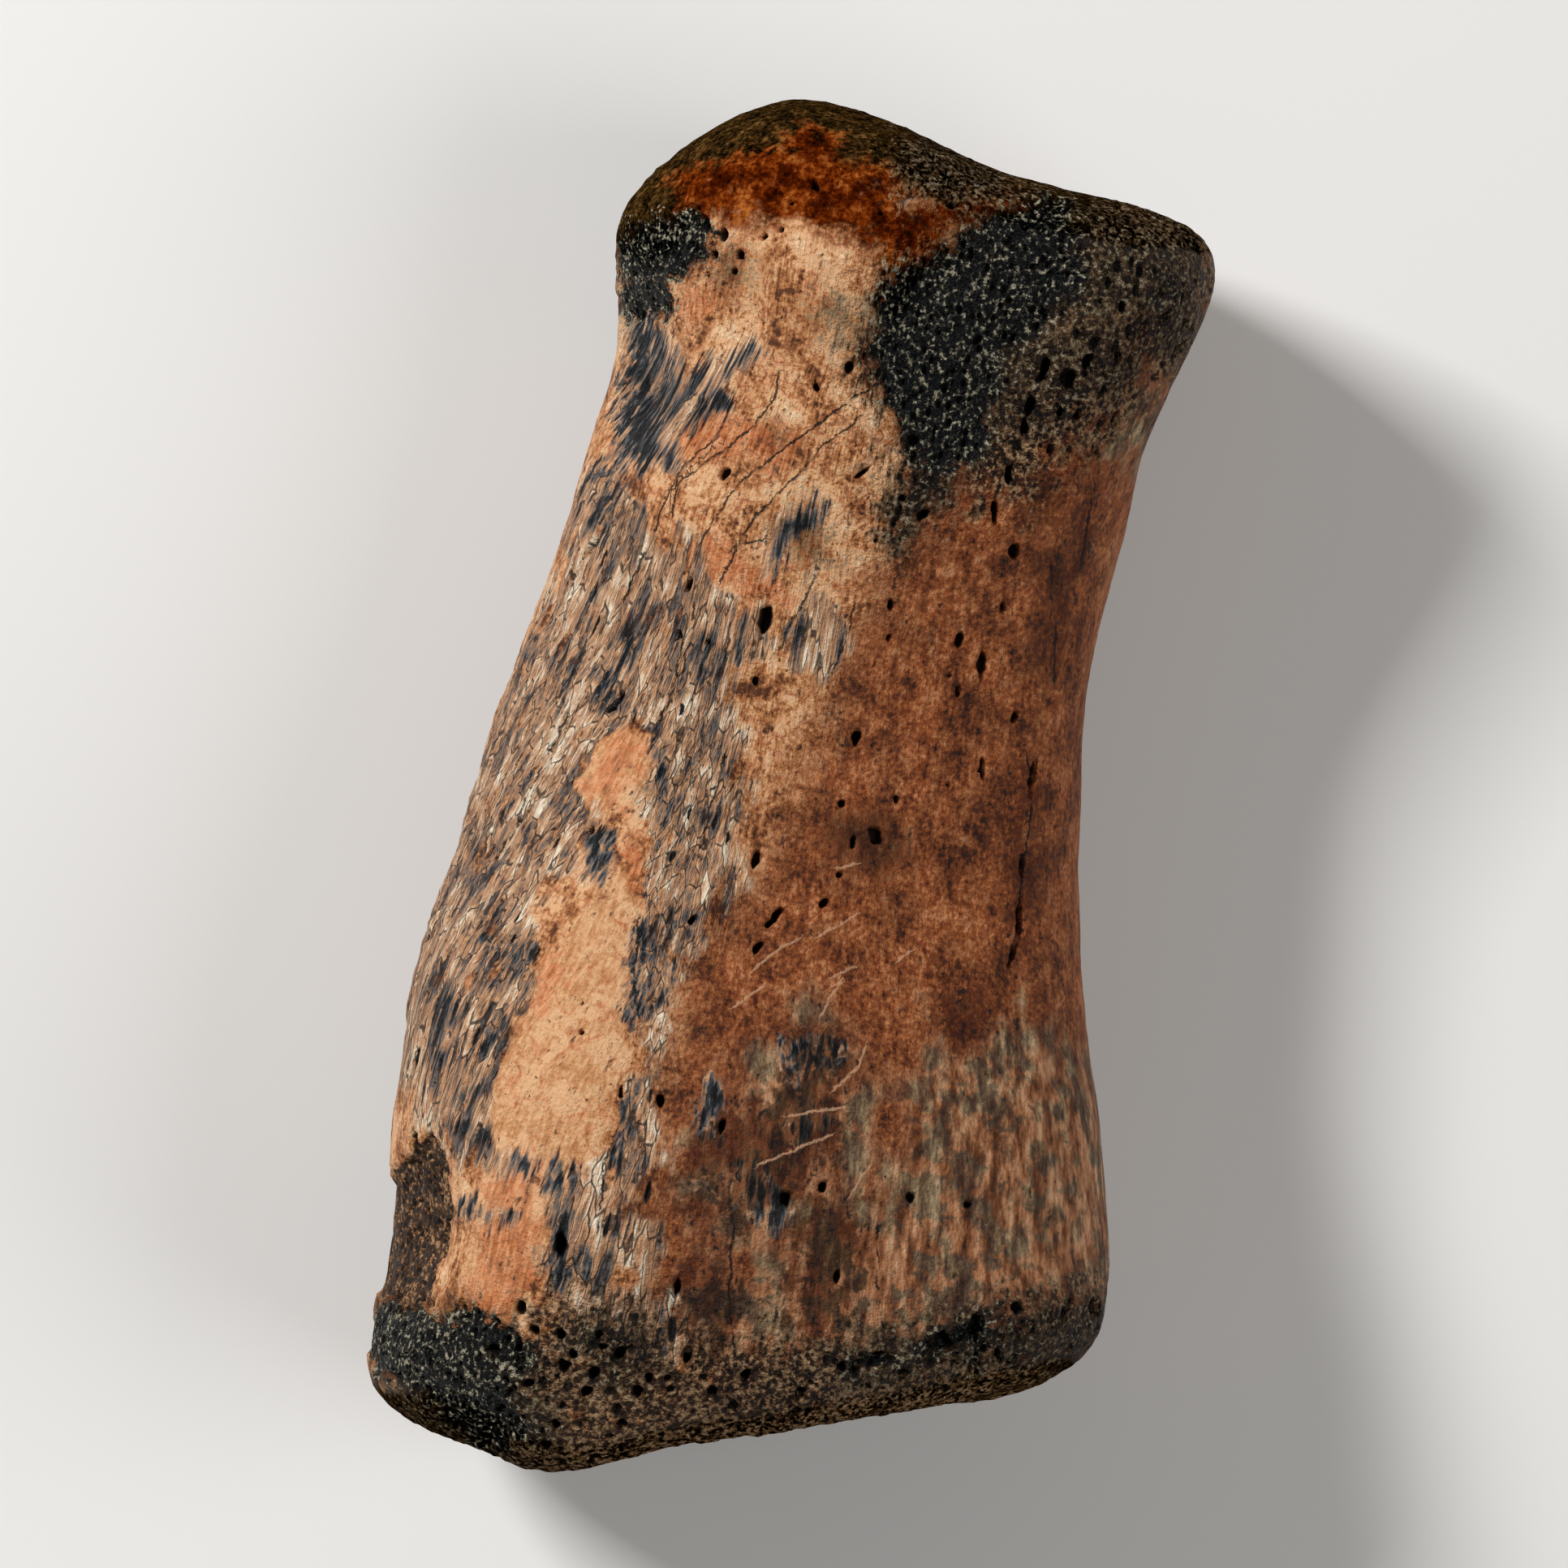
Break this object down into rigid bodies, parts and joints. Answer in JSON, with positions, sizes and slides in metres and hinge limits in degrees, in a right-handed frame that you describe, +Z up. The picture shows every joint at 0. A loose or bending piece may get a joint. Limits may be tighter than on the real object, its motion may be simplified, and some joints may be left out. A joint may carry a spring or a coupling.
{
  "type": "fossil finger bone",
  "caption": "Waisted fossil finger bone of a duck-billed dinosaur, with a dished wrist end and a rolled knuckle end, lying on its palm side.",
  "frame": {"origin": "middle of the bounding box's base, on the surface that the bone lies on", "axes": "+Y along the shaft from the wrist end to the knuckle end, +Z up out of the back of the finger, +X to the right seen from above with the knuckle end away"},
  "size_m": [0.0364, 0.0686, 0.0263],
  "materials": {
    "fossil_bone": "dull mineralised bone, tan to brown, with dark spongy patches"
  },
  "bodies": {
    "root": {"finger_bone": "fossil_bone"}
  },
  "joints": []
}
